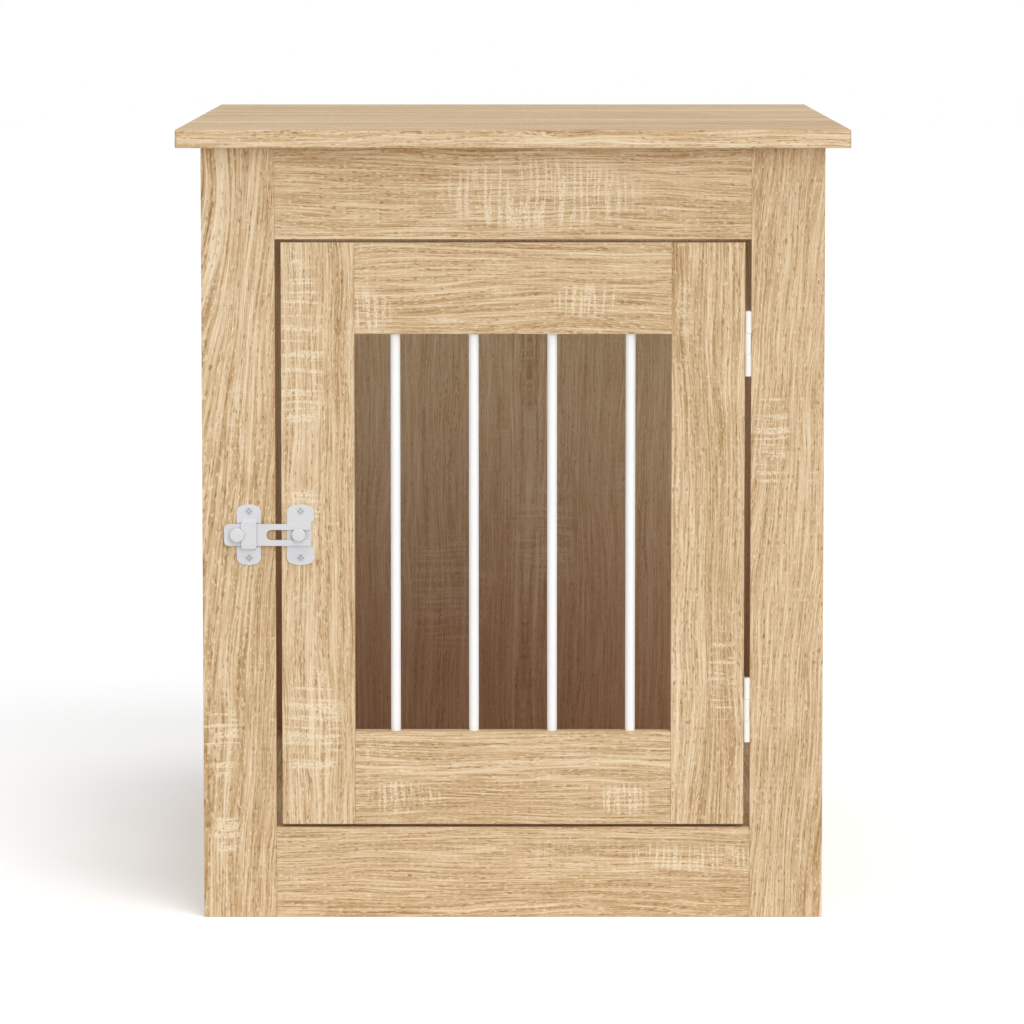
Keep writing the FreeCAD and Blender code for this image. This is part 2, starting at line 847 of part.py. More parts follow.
waist_outline = sketch_on(keeper, "XZ_Plane", "latch_plate_thickness")
waist_in = "(keeper_width / 2 - keeper_waist_depth)"
waist_half = "(keeper_waist_height / 2)"
outline(
    waist_outline,
    [
        (waist_in, f"(-{waist_half})"),
        ("keeper_width", f"(-{waist_half})"),
        ("keeper_width", waist_half),
        (waist_in, waist_half),
    ],
)
waisted = pocket(keeper, waist_outline, "latch_plate_thickness")
rounded(
    keeper,
    waisted,
    lambda box: upright(box) and box.XMin > 0 and abs(box.ZMin) < value(waist_half) + NONE,
    "keeper_waist_radius",
)
countersinks(keeper)

# The bolt is a flat bar whose tip is forked, so that it slips behind the stud's head.
bolt_spot = (BOLT_TIP_X, f"({FRONT} - {BOLT_BACK})", LATCH_HEIGHT)
bolt = sub_part(body_at("bolt", bolt_spot), "latch_bolt_bar")
bolt_outline = sketch_on(bolt, "XZ_Plane")
bolt_half = "(bolt_height / 2)"
outline(
    bolt_outline,
    [
        ("(-bolt_length)", f"(-{bolt_half})"),
        ("0", f"(-{bolt_half})"),
        ("0", bolt_half),
        ("(-bolt_length)", bolt_half),
    ],
)
bar = pad(bolt, bolt_outline, "bolt_thickness")
bar = rounded(
    bolt,
    bar,
    lambda box: box.XMax < NONE - value("bolt_length") and box.YLength > NONE,
    "bolt_corner_radius",
)
slot_outline = sketch_on(bolt, "XZ_Plane", "bolt_thickness")
slot_half = "(bolt_slot_width / 2)"
slot_bend = f"({slot_half} - bolt_slot_length)"
outline(
    slot_outline,
    [
        (slot_bend, slot_half, "half"),
        (slot_bend, f"(-{slot_half})"),
        ("bolt_slot_width", f"(-{slot_half})"),
        ("bolt_slot_width", slot_half),
    ],
)
pocket(bolt, slot_outline, "bolt_thickness")


def mushroom(label, x, seat, stem_diameter, stem_length, head_diameter, head_thickness, ease):
    """A turned button on the front: a stem on its seat, and a wider head with an eased rim."""
    body = sub_part(body_at(label, (x, f"({FRONT} - {seat})", LATCH_HEIGHT)), label)
    profile = sketch_on(body, "YZ_Plane")
    tip = f"({stem_length} + {head_thickness})"
    outline(
        profile,
        [
            (f"(-{tip})", "0"),
            ("0", "0"),
            ("0", f"({stem_diameter} / 2)"),
            (f"(-{stem_length})", f"({stem_diameter} / 2)"),
            (f"(-{stem_length})", f"({head_diameter} / 2)"),
            (f"({ease} - {tip})", f"({head_diameter} / 2)"),
            (f"(-{tip})", f"({head_diameter} / 2 - {ease})"),
        ],
    )
    turned = body.newObject("PartDesign::Revolution", "turned")
    turned.Profile = profile
    turned.ReferenceAxis = (profile, ["H_Axis"])
    turned.Angle = 360
    doc.recompute()
    return body


mushroom(
    "latch_knob",
    KNOB_X,
    BOLT_FACE,
    "knob_stem_diameter",
    f"({STRAP_CROWN} + knob_clearance - {BOLT_FACE})",
    "knob_head_diameter",
    "knob_head_thickness",
    "knob_edge_ease",
)
mushroom(
    "latch_stud",
    STUD_X,
    "latch_plate_thickness",
    "stud_shank_diameter",
    f"({BOLT_FACE} + stud_clearance - latch_plate_thickness)",
    "stud_head_diameter",
    "stud_head_thickness",
    "stud_edge_ease",
)
sub_part(latch_screws(GUIDE_X), "latch_guide_screws")
sub_part(latch_screws(KEEPER_X), "latch_keeper_screws")

# ---- Check and write every sub-part ----

doc.recompute()
failed = [thing.Name for thing in doc.Objects if {"Invalid", "Error"} & set(thing.State)]
if failed:
    raise RuntimeError(f"these did not compute: {failed}")
for thing in sub_parts:
    if thing.Shape.isNull() or not thing.Shape.isValid():
        raise RuntimeError(f"{thing.Label} has no valid shape")

os.makedirs("parts", exist_ok=True)
for thing in sub_parts:
    thing.Shape.exportStep(f"parts/{thing.Label}.step")
print(len(sub_parts), "sub-parts written")
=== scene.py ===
import json
from math import cos, radians, sin

import bmesh
import bpy
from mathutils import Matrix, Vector


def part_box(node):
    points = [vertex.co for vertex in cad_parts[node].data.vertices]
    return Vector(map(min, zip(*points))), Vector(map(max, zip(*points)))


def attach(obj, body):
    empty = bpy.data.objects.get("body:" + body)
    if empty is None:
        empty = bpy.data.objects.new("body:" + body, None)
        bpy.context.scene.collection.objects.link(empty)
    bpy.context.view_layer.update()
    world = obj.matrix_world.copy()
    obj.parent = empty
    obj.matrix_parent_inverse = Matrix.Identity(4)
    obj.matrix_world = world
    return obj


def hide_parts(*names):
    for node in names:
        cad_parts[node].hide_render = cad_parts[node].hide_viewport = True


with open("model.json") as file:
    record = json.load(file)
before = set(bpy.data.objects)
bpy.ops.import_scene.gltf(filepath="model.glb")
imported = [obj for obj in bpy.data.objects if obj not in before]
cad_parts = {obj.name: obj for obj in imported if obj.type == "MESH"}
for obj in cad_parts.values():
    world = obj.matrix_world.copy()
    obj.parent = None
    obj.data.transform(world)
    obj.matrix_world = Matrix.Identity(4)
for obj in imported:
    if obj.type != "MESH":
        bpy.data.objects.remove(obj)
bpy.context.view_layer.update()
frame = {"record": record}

# The looks of a dog crate end table: oak-look boards, white bars, hinges and a slide latch.
# Metres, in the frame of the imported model. The door faces -Y.

MM = 0.001
RECORD = frame["record"]
BODY_OF = {
    node: body for body, nodes in RECORD["behaviour"]["bodies"].items() for node in nodes
}
SLOT_OF = {part["node"]: part["material_slot"] for part in RECORD["subparts"]}
SMOOTH_ANGLE = 35  # edges that turn by fewer degrees are shaded smooth
EASED_ANGLE = 40  # edges that turn by more degrees are eased


# ---- Modelling ----


def let_go():
    """Leaves edit mode, with nothing selected."""
    if bpy.context.mode != "OBJECT":
        bpy.ops.object.mode_set(mode="OBJECT")
    bpy.ops.object.select_all(action="DESELECT")


def take(piece):
    """Makes a piece the only one selected."""
    let_go()
    piece.select_set(True)
    bpy.context.view_layer.objects.active = piece
    return piece


def corners(box):
    """The low and the high corner of a box, as vectors."""
    return [Vector(corner) for corner in box]


def settled(name):
    """Names the new primitive and puts its place into its mesh."""
    piece = bpy.context.object
    piece.name = name
    bpy.ops.object.transform_apply(location=True, rotation=True, scale=True)
    return piece


def cuboid(name, low, high):
    let_go()
    low, high = Vector(low), Vector(high)
    bpy.ops.mesh.primitive_cube_add(size=1, location=(low + high) / 2, scale=high - low)
    return settled(name)


def rod(name, radius, start, end, sides=40):
    let_go()
    start, end = Vector(start), Vector(end)
    axis = end - start
    bpy.ops.mesh.primitive_cylinder_add(
        vertices=sides,
        radius=radius,
        depth=axis.length,
        location=(start + end) / 2,
        rotation=axis.to_track_quat("Z", "Y").to_euler(),
    )
    return settled(name)


def taper(name, wide, narrow, start, end, sides=32):
    """A cone cut short, wide at its start."""
    let_go()
    start, end = Vector(start), Vector(end)
    axis = end - start
    bpy.ops.mesh.primitive_cone_add(
        vertices=sides,
        radius1=wide,
        radius2=narrow,
        depth=axis.length,
        location=(start + end) / 2,
        rotation=axis.to_track_quat("Z", "Y").to_euler(),
    )
    return settled(name)


def middle(part):
    """The middle of a face's or an edge's corners."""
    return sum((point.co for point in part.verts), Vector()) / len(part.verts)


def edit(piece, kind, chosen):
    """Opens a piece in edit mode with those of its faces or edges selected that pass the test."""
    take(piece)
    bpy.ops.object.mode_set(mode="EDIT")
    bpy.ops.mesh.select_mode(type=kind)
    bpy.ops.mesh.select_all(action="DESELECT")
    mesh = bmesh.from_edit_mesh(piece.data)
    for part in {"FACE": mesh.faces, "EDGE": mesh.edges}[kind]:
        if chosen(part):
            part.select_set(True)
    mesh.select_flush_mode()
    bmesh.update_edit_mesh(piece.data)


def runs_along(axis):
    """A test for edges that run along an axis."""

    def test(edge):
        way = edge.verts[1].co - edge.verts[0].co
        return abs(way["xyz".index(axis)]) > 0.99 * way.length

    return test


def round_edges(piece, chosen, radius, segments=6):
    edit(piece, "EDGE", chosen)
    bpy.ops.mesh.bevel(offset=radius, segments=segments, profile=0.5)
    let_go()
    return piece


def apply_modifier(piece, kind, **settings):
    take(piece)
    modifier = piece.modifiers.new(kind.lower(), kind)
    for name, setting in settings.items():
        setattr(modifier, name, setting)
    bpy.ops.object.modifier_apply(modifier=modifier.name)
    return piece


def smooth(piece):
    """Shades rounded faces as one, and leaves edges sharp that turn by more."""
    take(piece)
    bpy.ops.object.shade_smooth_by_angle(angle=radians(SMOOTH_ANGLE))


def ease(piece, width, segments=2):
    """Breaks a piece's sharp edges. Its flat faces stay flat, and only the rounding is shaded."""
    apply_modifier(
        piece,
        "BEVEL",
        width=width,
        segments=segments,
        limit_method="ANGLE",
        angle_limit=radians(EASED_ANGLE),
        use_clamp_overlap=True,
    )
    smooth(piece)
    return apply_modifier(piece, "WEIGHTED_NORMAL", keep_sharp=True)


def cut(piece, *cutters):
    """Takes cutters out of a piece, and clears them away."""
    for cutter in cutters:
        apply_modifier(piece, "BOOLEAN", operation="DIFFERENCE", object=cutter, solver="EXACT")
        bpy.data.objects.remove(cutter)
    return piece


def weld(piece, *others):
    """Makes one closed solid of pieces that overlap."""
    for other in others:
        apply_modifier(piece, "BOOLEAN", operation="UNION", object=other, solver="EXACT")
        bpy.data.objects.remove(other)
    return piece


def join(name, pieces):
    """Makes one object of pieces that stay apart."""
    let_go()
    for piece in pieces:
        piece.select_set(True)
    bpy.context.view_layer.objects.active = pieces[0]
    bpy.ops.object.join()
    pieces[0].name = name
    return pieces[0]


def copy(piece, name, shift):
    """A copy with its own mesh, moved by a shift."""
    twin = piece.copy()
    twin.data = piece.data.copy()
    twin.name = name
    bpy.context.scene.collection.objects.link(twin)
    take(twin)
    twin.location = shift
    bpy.ops.object.transform_apply(location=True)
    return twin


def finish(piece, coat, beside, slot):
    """Gives a piece its finish, and lets it ride with a CAD node. The slot is not used."""
    piece.data.materials.clear()
    piece.data.materials.append(coat.material)
    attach(piece, BODY_OF[beside])


def fit(piece, coat, *nodes):
    """Shows a piece in place of CAD nodes, on their body and with their finish."""
    finish(piece, coat, nodes[0], SLOT_OF[nodes[0]])
    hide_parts(*nodes)


# ---- Finishes ----


def tint(red, green, blue):
    """A colour as it looks on a screen, 0 to 255, in the numbers that shaders take."""
    levels = [level / 255 for level in (red, green, blue)]
    return [
        level / 12.92 if level <= 0.04045 else ((level + 0.055) / 1.055) ** 2.4
        for level in levels
    ] + [1]


class Field:
    """A socket whose value changes over a surface. Sums on it add Math nodes to its tree."""

    def __init__(self, nodes, socket):
        self.nodes, self.socket = nodes, socket

    def maths(self, operation, first, second):
        return self.nodes.node(
            "ShaderNodeMath", {"operation": operation}, {0: first, 1: second}
        )["Value"]

    def __add__(self, other):
        return self.maths("ADD", self, other)

    def __sub__(self, other):
        return self.maths("SUBTRACT", self, other)

    def __mul__(self, other):
        return self.maths("MULTIPLY", self, other)

    def __truediv__(self, other):
        return self.maths("DIVIDE", self, other)

    def __pow__(self, other):
        return self.maths("POWER", self, other)

    def __abs__(self):
        return self.maths("ABSOLUTE", self, 0)

    __radd__ = __add__


class Nodes:
    """The nodes of a material or a world."""

    def __init__(self, tree):
        self.tree = tree

    def node(self, kind, settings, sockets):
        """Adds a node, set up and then fed with values or fields. Gives its outputs by name."""
        node = self.tree.nodes.new(kind)
        for name, setting in settings.items():
            if name == "stops":
                self.set_stops(node.color_ramp, setting)
            else:
                setattr(node, name, setting)
        for key, feed in sockets.items():
            socket = (
                node.inputs[key]
                if isinstance(key, int)
                else next(s for s in node.inputs if s.name == key and s.enabled)
            )
            if isinstance(feed, Field):
                self.tree.links.new(feed.socket, socket)
            else:
                socket.default_value = feed
        return {s.name: Field(self, s) for s in node.outputs if s.enabled}

    def set_stops(self, ramp, stops):
        while len(ramp.elements) < len(stops):
            ramp.elements.new(1)
        for element, (position, colour) in zip(ramp.elements, stops):
            element.position, element.color = position, colour

    def show(self, output, plain, seen):
        """Sends one shader to the light, and another to what the camera sees."""
        ray = self.node("ShaderNodeLightPath", {}, {})
        to_eye = self.node(
            "ShaderNodeMath",
            {"operation": "ADD", "use_clamp": True},
            {0: ray["Is Camera Ray"] + ray["Is Glossy Ray"], 1: ray["Is Transmission Ray"]},
        )["Value"]
        both = self.node("ShaderNodeMixShader", {}, {0: to_eye, 1: plain, 2: seen})["Shader"]
        self.tree.links.new(both.socket, self.tree.nodes[output].inputs["Surface"])


class Finish(Nodes):
    """A material made of nodes, with one surface shader."""

    def __init__(self, name, **sockets):
        self.material = bpy.data.materials.new(name)
        self.material.use_nodes = True
        super().__init__(self.material.node_tree)
        self.surface = self.tree.nodes["Principled BSDF"]
        for socket, setting in sockets.items():
            label = socket.replace("_", " ").title().replace("Ior", "IOR")
            self.surface.inputs[label].default_value = setting

    def feed(self, socket, field):
        self.tree.links.new(field.socket, self.surface.inputs[socket])

    def place(self):
        """Millimetres along x, y and z."""
        spot = self.node("ShaderNodeTexCoord", {}, {})["Object"]
        axes = self.node("ShaderNodeSeparateXYZ", {}, {"Vector": spot})
        return {name.lower(): axes[name] * 1000 for name in "XYZ"}

    def facing(self):
        """How much the surface faces along x, y and z, either way."""
        normal = self.node("ShaderNodeTexCoord", {}, {})["Normal"]
        axes = self.node("ShaderNodeSeparateXYZ", {}, {"Vector": normal})
        return {name.lower(): abs(axes[name]) for name in "XYZ"}

    def noise(self, x, y, z, detail=2.0, roughness=0.5):
        """Noise whose blotches are about 1 across in each of its three numbers."""
        vector = self.node("ShaderNodeCombineXYZ", {}, {"X": x, "Y": y, "Z": z})["Vector"]
        return self.node(
            "ShaderNodeTexNoise",
            {},
            {"Vector": vector, "Scale": 1, "Detail": detail, "Roughness": roughness},
        )["Fac"]

    def step(self, field, start, end):
        """0 up to the start and 1 from the end, with a soft change between."""
        return self.node(
            "ShaderNodeMapRange",
            {"interpolation_type": "SMOOTHSTEP"},
            {"Value": field, "From Min": start, "From Max": end},
        )["Result"]

    def mix(self, amount, first, second):
        return self.node(
            "ShaderNodeMix", {"data_type": "RGBA"}, {"Factor": amount, "A": first, "B": second}
        )["Result"]

    def shade_tone(self, amount, colour, shade_tone):
        """A colour multiplied by another colour; it lays the painted shade on a board."""
        return self.node(
            "ShaderNodeMix",
            {"data_type": "RGBA", "blend_type": "MULTIPLY"},
            {"Factor": amount, "A": colour, "B": shade_tone},
        )["Result"]

    def towards_door(self):
        """How much the surface faces the door's side: 1 straight at it, -1 straight away."""
        normal = self.node("ShaderNodeTexCoord", {}, {})["Normal"]
        return self.node("ShaderNodeSeparateXYZ", {}, {"Vector": normal})["Y"] * -1

    def bump(self, height, distance):
        """Relief that follows a field. Its depth is in metres."""
        relief = self.node("ShaderNodeBump", {}, {"Height": height, "Distance": distance})
        self.feed("Normal", relief["Normal"])


# ---- Oak foil ----

OAK_TONES = [
    (0.0, tint(160, 124, 82)),
    (0.3, tint(193, 159, 115)),
    (0.5, tint(215, 185, 145)),
    (0.7, tint(232, 207, 171)),
    (1.0, tint(248, 231, 203)),
]
OAK_PORE = tint(150, 112, 72)
OAK_FLECK = tint(246, 227, 195)
RIM_BROWN = tint(146, 108, 68)
SAW_PALE = tint(247, 230, 200)
# painted shade for the back panel's inner face: colour factors at the bottom and at the top, darker
# towards the bottom
PAINTED_SHADE_LOW = (0.58, 0.47, 0.47, 1)
PAINTED_SHADE_HIGH = (0.93, 1.0, 1.08, 1)
PAINTED_SHADE_SPAN = (60, 520)  # millimetres above the floor

TURNED = (0.69, 0.71)  # a face turned by 45 degrees or more is an edge or an end of its board
ROUNDED = (0.97, 0.85)  # how squarely an eased edge faces any axis, from its rim inwards
EDGE_FROM_HEART = 46  # how far from the heart of its rings the foil on a board's edge was cut
SWAY, RIPPLE = 18, 2  # how far slow waves and small ones bend the rings, in millimetres
SMALLEST_RING = 60  # the square of its radius in millimetres
ARCS_REACH = (55, 12)  # arcs fade in between these distances from the heart
MIDDLE_TONE = 0.49
BANDS, LINES, THREADS = 0.35, 0.65, 1.05  # how strongly each kind of mark shows in the tone
FLECK_COVER, PORE_COVER, SAW_COVER = 0.5, 0.64, 0.72  # how much of the tone each one hides
FOIL_RELIEF = 0.06 * MM

# marks that follow the rings: how wide across them and how long along them in millimetres,
# a number that sets each kind apart, and the detail and roughness of its noise
MARKS = {
    "broad": (42, 900, 53, 1),
    "bands": (8, 500, 3, 1),
    "lines": (1.9, 160, 11, 1),
    "threads": (0.9, 38, 19, 1, 0.6),
    "arcs": (3.2, 400, 5, 1),
    "pores": (0.95, 5.5, 29, 0.5),
    "flecks": (0.9, 4.5, 41, 0.5),
}

USUAL_LOOKS = {
    "bold": 1.0,
    "drift": 0.25,
    "arcs": 1.1,
    "lean": 0,
    "straight_from": 170,
    "rim": 0.7,
    # painted shade on the face towards the door, off unless a board asks for it
    "painted_shade": False,
}


def oak(name, along, across, heart, slope, saws, seed, **looks):
    """Printed oak foil, as on one board.

    The rings are long ovals round the heart, given along and across the board in millimetres.
    Saw marks lie in patches, each given as (along, across, half length, half width).
    Bold is how strongly the grain shows, and drift how far the tone wanders across the board.
    A board with painted shade has the face that looks towards the door darkened as if in shade,
    darker towards the bottom.
    Arcs is how strongly the rings show near the heart, lean how far the heart strays across
    the board, and straight_from how far along from it the grain runs straight again.
    Rim is how strongly the brown core shows where the board's edges are eased.
    """
    bold, drift, arcs, lean, straight_from, rim, painted_shade = (
        looks.get(key, usual) for key, usual in USUAL_LOOKS.items()
    )
    foil = Finish(name, roughness=0.62, specular_ior_level=0.12)
    axes, facing = foil.place(), foil.facing()
    through = ({"x", "y", "z"} - {along, across}).pop()
    on_end = foil.step(facing[along], *TURNED)
    on_edge = foil.step(facing[across] + facing[along], *TURNED)
    length = axes[along] + (axes[across] - axes[along]) * on_end
    width = axes[across] + (axes[through] + heart[1] + EDGE_FROM_HEART - axes[across]) * on_edge
    depth = axes[through] / 60 + seed * 7.3

    # the rings, bent by waves, give one number that every finer mark follows; in each noise the
    # divisors are sizes in millimetres, and what is added to the depth sets it apart
    sway = foil.noise(length / 170, width / 46, depth, 1.0) - 0.5
    ripple = foil.noise(length / 44, width / 20, depth + 7, 1.0) - 0.5
    off = length - heart[0]
    side = width - heart[1] - off * lean + sway * SWAY + ripple * RIPPLE
    rise = off * slope / (1 + (off / straight_from) ** 2) ** 0.5
    ring = (side * side + rise * rise + SMALLEST_RING) ** 0.5

    turn = depth + side / 110  # so that the two sides of the heart aren't mirror images
    marks = {
        kind: foil.noise(ring / wide, length / long, turn + apart, *noise)
        for kind, (wide, long, apart, *noise) in MARKS.items()
    }
    figure = (
        (marks["broad"] - 0.5) * drift
        + (marks["bands"] - 0.5) * BANDS
        + (marks["lines"] - 0.5) * LINES
        + (marks["arcs"] - 0.5) * foil.step(ring, *ARCS_REACH) * arcs
    )
    tone = MIDDLE_TONE + (figure + (marks["threads"] - 0.5) * THREADS) * bold
    colour = foil.node("ShaderNodeValToRGB", {"stops": OAK_TONES}, {"Fac": tone})["Color"]

    pore = foil.step(marks["pores"], 0.6, 0.7) * foil.step(marks["lines"], 0.66, 0.42)
    fleck = foil.step(marks["flecks"], 0.6, 0.7)
    colour = foil.mix(fleck * (FLECK_COVER * bold), colour, OAK_FLECK)
    colour = foil.mix(pore * (PORE_COVER * bold), colour, OAK_PORE)

    # saw marks: pale lines across the grain, broken up by it
    bow = foil.noise(width / 30, length / 60, depth + 61, 1) - 0.5
    bent = length + bow * 5
    strokes = foil.noise(bent / 3.0, width / 55, depth + 71, 0.5)
    scratches = foil.noise(bent / 1.1, width / 16, depth + 77, 0.5)
    broken = foil.noise(length / 1.7, ring / 1.3, depth + 83, 1.0)
    patch = foil.step(foil.noise(length / 55, width / 22, depth + 97, 1), 0.62, 0.76) * 0.5
    for spot_along, spot_across, half_length, half_width in saws:
        far = (
            ((length - spot_along) / half_length) ** 2
            + ((width - spot_across) / half_width) ** 2
            + (broken - 0.5) * 1.2
        )
        patch = patch + foil.step(far, 1.35, 0.5)
    stroke = foil.step(strokes, 0.5, 0.6) + foil.step(scratches, 0.56, 0.66) * 0.45
    saw = foil.node(
        "ShaderNodeMath",
        {"operation": "MULTIPLY", "use_clamp": True},
        {0: stroke * foil.step(broken, 0.36, 0.56), 1: patch},
    )["Value"]
    colour = foil.mix(saw * (SAW_COVER * bold), colour, SAW_PALE)
    if rim:
        squarest = facing["x"].maths("MAXIMUM", facing["x"], facing["y"])
        squarest = squarest.maths("MAXIMUM", squarest, facing["z"])
        colour = foil.mix(foil.step(squarest, *ROUNDED) * rim, colour, RIM_BROWN)
    # painted shade: the face towards the door is darkened as if in shade, more towards the bottom
    if painted_shade:
        shade_colour = foil.mix(foil.step(axes["z"], *PAINTED_SHADE_SPAN), PAINTED_SHADE_LOW, PAINTED_SHADE_HIGH)
        colour = foil.shade_tone(foil.step(foil.towards_door(), 0.5, 0.6), colour, shade_colour)

    foil.feed("Base Color", colour)
    foil.feed("Roughness", 0.58 + pore * 0.16 - fleck * 0.05)
    foil.bump(marks["threads"] + fleck * 0.4 - pore + saw * 0.5, FOIL_RELIEF)
    return foil


# ---- Boards ----

TONGUE = 10 * MM
BOARD_EASE = 0.45 * MM
TOP_EASE = 1.0 * MM
TOP_CORNER = 3.0 * MM

# heart of the rings along and across the board, slope, saw patches and seed
FIGURES = {
    "tabletop": ((-60, 60), 0.05, (), 1),
    "back_panel": ((400, 14), 0.045, ((190, -60, 60, 40), (250, 30, 50, 30)), 2),
    "floor_panel": ((0, 260), 0.05, (), 3),
    "front_left_stile": ((615, -262), 0.2, ((150, -240, 34, 16), (70, -236, 20, 12)), 4),
    "front_right_stile": ((420, 300), 0.12, ((395, 212, 45, 16),), 5),
    "front_top_rail": ((120, 690), 0.06, ((20, 597, 85, 30),), 6),
    "front_bottom_rail": ((-40, -40), 0.05, ((150, 50, 60, 12),), 7),
    "door_latch_stile": (
        (300, -60),
        0.06,
        ((155, -165, 52, 26), (340, -172, 16, 16), (468, -174, 82, 20)),
        8,
    ),
    "door_hinge_stile": ((380, 120), 0.10, ((200, 172, 40, 12),), 9),
    "door_top_rail": ((60, 430), 0.10, ((-118, 500, 20, 16), (60, 510, 30, 14)), 10),
    "door_bottom_rail": ((-150, 26), 0.09, ((90, 98, 24, 14), (-90, 100, 30, 14)), 11),
}
HIDDEN_SLOPE = 0.08

LOOKS = {
    "tabletop": {"drift": 0.6, "rim": 0},
    # the back panel's inner face gets painted shade
    "back_panel": {"bold": 0.6, "painted_shade": True},
    "front_left_stile": {"arcs": 2.2, "lean": 0.035, "straight_from": 250},
    "front_right_stile": {"lean": 0.07},
}


def hidden_figure(node, along, across):
    """A figure of its own for a board out of sight, whose middle is given in millimetres."""
    number = list(SLOT_OF).index(node)
    heart = (along + 90 * sin(number * 2.1), across + 75 * cos(number * 3.7))
    return heart, HIDDEN_SLOPE, (), number


def board(node):
    """A board of the CAD's size and place, without the tongues that its neighbours hide."""
    low, high = corners(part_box(node))
    size = high - low
    flat = min(range(3), key=lambda axis: size[axis])
    # the tabletop's grain runs across the front, and every other board's along its length
    along = 0 if node == "tabletop" else max(range(3), key=lambda axis: size[axis])
    across = 3 - flat - along
    if node.endswith("_rail"):
        low[along] += TONGUE
        high[along] -= TONGUE
    piece = cuboid(f"{node}_board", low, high)
    if node == "tabletop":
        round_edges(piece, runs_along("z"), TOP_CORNER)
        ease(piece, TOP_EASE, 3)
    else:
        ease(piece, BOARD_EASE)
    centre = (low + high) / (2 * MM)
    figure = FIGURES.get(node) or hidden_figure(node, centre[along], centre[across])
    foil = oak(f"oak_foil_{node}", "xyz"[along], "xyz"[across], *figure, **LOOKS.get(node, {}))
    fit(piece, foil, node)


for part in RECORD["subparts"]:
    if part["material_slot"] == "oak_board":
        board(part["node"])


# ---- Painted and bare metal ----

DUST_SIZE = 22  # how far apart the clouds of dust tone lie, in millimetres
PEEL_RELIEF = 0.02 * MM


def enamel(name, colour, shade, roughness, grain):
    """Paint on metal, with the slight orange peel and dust tone that it has."""
    finish = Finish(name, roughness=roughness, coat_weight=0.15, coat_roughness=0.2)
    axes = finish.place()
    peel, cloud = (
        finish.noise(axes["x"] / size, axes["y"] / size, axes["z"] / size)
        for size in (grain, DUST_SIZE)
    )
    finish.feed("Base Color", finish.mix(finish.step(cloud, 0.35, 0.75), colour, shade))
    finish.feed("Roughness", roughness + (peel - 0.5) * 0.12)
    finish.bump(peel, PEEL_RELIEF)
    return finish


bar_paint = enamel("bar_powder_coat", tint(254, 254, 253), tint(251, 251, 251), 0.4, 1.1)
hinge_paint = enamel("hinge_enamel", tint(254, 253, 248), tint(250, 249, 243), 0.35, 1.0)
latch_paint = enamel("latch_enamel", tint(220, 220, 222), tint(214, 214, 217), 0.38, 0.9)
screw_paint = enamel("screw_enamel", tint(210, 210, 213), tint(202, 202, 206), 0.34, 0.8)

# bright wire, with the fine lines that drawing leaves along it
pin_steel = Finish("pin_steel", base_color=tint(196, 197, 199), metallic=1.0, roughness=0.3)
pin_axes = pin_steel.place()
drawn = pin_steel.noise(pin_axes["x"] / 0.3, pin_axes["y"] / 0.3, pin_axes["z"] / 9)
pin_steel.feed("Roughness", 0.24 + drawn * 0.16)


# ---- Bars ----

BAR_RADIUS = 4 * MM
DOOR_PITCH = 64.3 * MM
SIDE_PITCH = 62.5 * MM


def bars(node, middles):
    """Round bars between the rails of a window, at their places across it."""
    low, high = corners(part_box(node))
    pieces = [
        rod(f"{node}_{number}", BAR_RADIUS, (x, y, low.z), (x, y, high.z))
        for number, (x, y) in enumerate(middles)
    ]
    whole = join(f"{node}_round", pieces)
    smooth(whole)
    fit(whole, bar_paint, node)


def centre_of(node):
    low, high = corners(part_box(node))
    return (low + high) / 2


door_middle = centre_of("door_bars")
bars("door_bars", [(DOOR_PITCH * step, door_middle.y) for step in (-1.5, -0.5, 0.5, 1.5)])
for side in ("left", "right"):
    node = f"{side}_window_bars"
    window_middle = centre_of(node)
    bay = (centre_of(f"{side}_rear_top_rail").y - centre_of(f"{side}_front_top_rail").y) / 2
    ways = [
        window_middle.y + hand * bay + SIDE_PITCH * step
        for hand in (-1, 1)
        for step in (-1, 0, 1)
    ]
    bars(node, [(window_middle.x, way) for way in ways])


# ---- Screws ----

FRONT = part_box("door_latch_stile")[0][1]
BEFORE = 0.2 * MM  # how far in front of a face its cutter starts
BEYOND = 0.1 * MM  # how far past the back of a plate its countersink reaches
SINK_PLAY = 0.05 * MM
ARM_DEPTH, ARM_HALF = 0.35 * MM, 0.45 * MM
POCKET_DEPTH, POCKET_HALF, POCKET_REACH = 1.1 * MM, 0.7 * MM, 0.75 * MM
SHANK_SIDES = 24
SCREW_POINT = 0.1 * MM
SCREW_EASE = 0.08 * MM


def span(one, other):
    """A cuboid between two opposite corners, in any order."""
    low = [min(pair) for pair in zip(one, other)]
    high = [max(pair) for pair in zip(one, other)]
    return cuboid("cutter", low, high)


def recess(middle, way, reach, side_axis, other_axis):
    """A cutter for a cross-shaped driver recess: shallow arms that end in deeper pockets."""
    pieces = []
    for axis, across in ((side_axis, other_axis), (other_axis, side_axis)):
        start = middle - axis * reach - across * ARM_HALF - way * BEFORE
        pieces.append(
            span(start, middle + axis * reach + across * ARM_HALF + way * ARM_DEPTH)
        )
        for hand in (-1, 1):
            spot = middle + axis * hand * (reach - POCKET_REACH)
            corner = axis * POCKET_REACH + across * POCKET_HALF
            pieces.append(span(spot - corner - way * BEFORE, spot + corner + way * POCKET_DEPTH))
    return weld(*pieces)


def screw(name, seat, way, head, shank, length, reach):
    """A countersunk screw whose head lies flush at its seat, driven in along an axis."""
    thick = head - shank
    core = shank * 0.8
    body = weld(
        taper(name, head, shank, seat, seat + way * thick),
        rod(
            "shank",
            core,
            seat + way * thick * 0.5,
            seat + way * (length - 2 * shank),
            SHANK_SIDES,
        ),
        taper(
            "point",
            core,
            SCREW_POINT,
            seat + way * (length - 2.2 * shank),
            seat + way * length,
            SHANK_SIDES,
        ),
    )
    up = Vector((0, 0, 1))
    cut(body, recess(seat, way, reach, up, way.cross(up)))
    return ease(body, SCREW_EASE)


